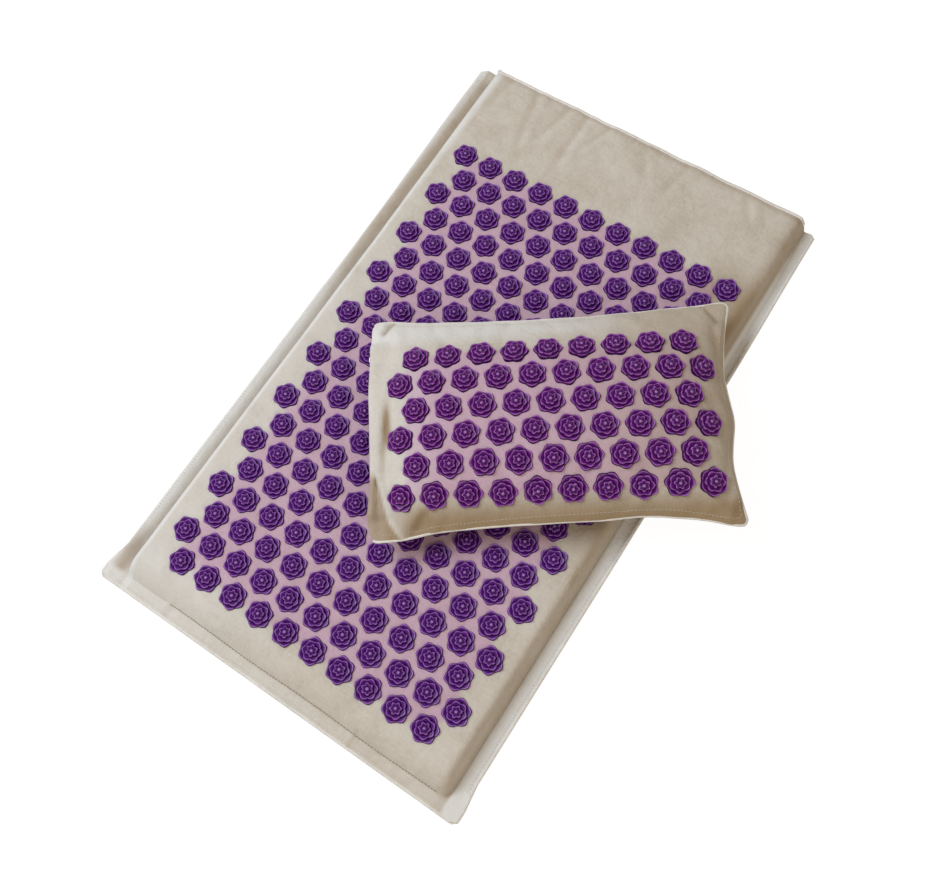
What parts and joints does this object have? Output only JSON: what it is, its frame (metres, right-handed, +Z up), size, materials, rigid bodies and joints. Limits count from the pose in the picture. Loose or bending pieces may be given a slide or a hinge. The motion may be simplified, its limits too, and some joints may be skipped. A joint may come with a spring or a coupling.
{
  "type": "acupressure mat",
  "caption": "Padded linen mat covered in moulded lotus spike discs, with a grain-filled pillow of the same kind lying askew on it. Both covers unzip.",
  "frame": {"origin": "centre of the mat's underside", "axes": "+Z up, +Y along the mat towards the plain end where the cover unzips, +X across it"},
  "size_m": [0.5287, 0.7228, 0.1003],
  "materials": {
    "linen": "plain woven, undyed",
    "violet_plastic": "semi-gloss moulded",
    "foam": "open-cell foam",
    "calico": "plain woven",
    "husks": "loose husks",
    "zip_tape": "woven tape",
    "zip_coil": "nylon",
    "zip_metal": "nickel plated"
  },
  "bodies": {
    "mat": {"mat_top_cover": "linen", "mat_bottom_cover": "linen", "mat_core": "foam", "mat_zip_tape_upper": "zip_tape", "mat_zip_tape_lower": "zip_tape", "mat_zip_coil_upper": "zip_coil", "mat_zip_coil_lower": "zip_coil", "mat_zip_top_stop_upper": "zip_metal", "mat_zip_top_stop_lower": "zip_metal", "mat_zip_bottom_stop": "zip_metal"},
    "mat_slider": {"mat_zip_slider": "zip_metal"},
    "mat_pull": {"mat_zip_pull": "zip_metal"},
    "pillow": {"pillow_top_cover": "linen", "pillow_bottom_cover": "linen", "pillow_bag_upper": "calico", "pillow_bag_lower": "calico", "pillow_filling": "husks", "pillow_zip_tape_upper": "zip_tape", "pillow_zip_tape_lower": "zip_tape", "pillow_zip_coil_upper": "zip_coil", "pillow_zip_coil_lower": "zip_coil", "pillow_zip_top_stop_upper": "zip_metal", "pillow_zip_top_stop_lower": "zip_metal", "pillow_zip_bottom_stop": "zip_metal"},
    "pillow_slider": {"pillow_zip_slider": "zip_metal"},
    "pillow_pull": {"pillow_zip_pull": "zip_metal"}
  },
  "joints": [
    {"name": "pillow_lift", "type": "slide", "parent": "mat", "child": "pillow", "axis": [0, 0, 1], "range_m": [0, 0.15]},
    {"name": "mat_zip_slide", "type": "slide", "parent": "mat", "child": "mat_slider", "axis": [-1, 0, 0], "range_m": [0, 0.354]},
    {"name": "mat_pull_turn", "type": "hinge", "parent": "mat_slider", "child": "mat_pull", "pos_m": [0.177, 0.36105, 0.012], "axis": [0, 0, -1], "range_deg": [0, 180]},
    {"name": "pillow_zip_slide", "type": "slide", "parent": "pillow", "child": "pillow_slider", "axis": [0.5721, -0.8202, 0], "range_m": [0, 0.1498]},
    {"name": "pillow_pull_turn", "type": "hinge", "parent": "pillow_slider", "child": "pillow_pull", "pos_m": [-0.09721, -0.03047, 0.05795], "axis": [0, 0, -1], "range_deg": [0, 180]}
  ]
}
